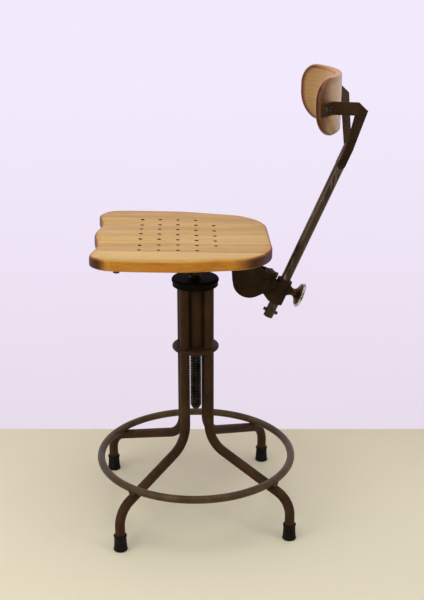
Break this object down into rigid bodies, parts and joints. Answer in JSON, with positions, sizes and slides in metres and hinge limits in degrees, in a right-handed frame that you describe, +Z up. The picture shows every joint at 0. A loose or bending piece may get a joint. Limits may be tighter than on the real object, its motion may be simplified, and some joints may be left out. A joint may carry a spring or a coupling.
{
  "type": "drafting chair",
  "caption": "Tall swivel work chair with a footrest ring, a screw-lifted wooden seat and a curved wooden backrest on a sprung, sliding post.",
  "frame": {"origin": "on the lifting screw's axis, at floor level", "axes": "+Z up, +Y to the rear of the seat, +X to the sitter's left"},
  "size_m": [0.4659, 0.5831, 1.026],
  "materials": {
    "brown_enamel": "satin chocolate-brown baked enamel, worn",
    "ring_enamel": "grey-brown enamel, scuffed by feet",
    "post_enamel": "brown enamel rubbed to bare steel in patches",
    "cast_enamel": "brown enamel over a cast surface",
    "dark_enamel": "near-black enamel",
    "spider_paint": "dull brown paint",
    "black_rubber": "moulded rubber",
    "oiled_steel": "dark oiled cut thread",
    "bare_steel": "dull steel",
    "zinc_steel": "light zinc plate",
    "spring_steel": "oil-tempered spring wire",
    "brass": "plain brass",
    "knob_brass": "plated brass, worn through on the neck",
    "nickel": "polished nickel plate",
    "seat_wood": "lacquered laminated hardwood, honey coloured",
    "back_wood": "lacquered bent ply, pale honey"
  },
  "bodies": {
    "base": {"leg_rear_left": "brown_enamel", "leg_rear_right": "brown_enamel", "leg_front_right": "brown_enamel", "leg_front_left": "brown_enamel", "foot_rear_left": "black_rubber", "foot_rear_right": "black_rubber", "foot_front_right": "black_rubber", "foot_front_left": "black_rubber", "foot_ring": "ring_enamel", "ring_welds": "ring_enamel", "upper_collar": "dark_enamel", "lower_collar": "brown_enamel", "column_sleeve": "brown_enamel", "seat_nut": "bare_steel", "guide_bush": "brass"},
    "lift": {"thrust_washer": "bare_steel"},
    "seat": {"seat_screw": "oiled_steel", "hub_pin": "bare_steel", "seat_hub": "dark_enamel", "seat_arm_rear_left": "spider_paint", "seat_arm_rear_right": "spider_paint", "seat_arm_front_right": "spider_paint", "seat_arm_front_left": "spider_paint", "seat_arm_screws": "bare_steel", "seat_board": "seat_wood", "back_bracket": "cast_enamel", "bracket_screws": "bare_steel", "pivot_bolt": "cast_enamel", "pivot_nut": "bare_steel", "back_spring": "spring_steel"},
    "carrier": {"post_carrier": "cast_enamel", "stop_bolt": "zinc_steel"},
    "clamp": {"clamp_pad": "brass"},
    "knob": {"clamp_screw": "bare_steel", "clamp_knob": "knob_brass", "knob_rim": "nickel"},
    "post": {"back_post": "post_enamel", "post_stop_pin": "bare_steel", "yoke_strap_left": "brown_enamel", "yoke_strap_right": "brown_enamel", "yoke_rivets": "brown_enamel", "backrest_board": "back_wood", "backrest_screws": "bare_steel"}
  },
  "joints": [
    {"name": "seat_lift", "type": "slide", "parent": "base", "child": "lift", "axis": [0, 0, 1], "range_m": [-0.0127, 0.127]},
    {"name": "seat_turn", "type": "hinge", "parent": "lift", "child": "seat", "pos_m": [0, 0, 0], "axis": [0, 0, 1], "range_deg": [-720, 7200]},
    {"name": "back_tilt", "type": "hinge", "parent": "seat", "child": "carrier", "pos_m": [0, 0.162, 0.561], "axis": [-1, 0, 0], "range_deg": [0, 10], "stiffness_Nm_per_rad": 120, "springref_deg": -4.58, "deforming": ["back_spring"]},
    {"name": "post_slide", "type": "slide", "parent": "carrier", "child": "post", "axis": [0, 0.3987, 0.9171], "range_m": [-0.13, 0.0185]},
    {"name": "pad_slide", "type": "slide", "parent": "carrier", "child": "clamp", "axis": [0, 0.9171, -0.3987], "range_m": [0, 0.0015]},
    {"name": "clamp_turn", "type": "hinge", "parent": "clamp", "child": "knob", "pos_m": [0, 0.19461, 0.54312], "axis": [0, 0.9171, -0.3987], "range_deg": [0, 360]}
  ],
  "couplings": [
    {"joint": "seat_lift", "follows": "seat_turn", "m_per_rad": 0.0010106},
    {"joint": "pad_slide", "follows": "clamp_turn", "m_per_rad": 0.00023873}
  ]
}
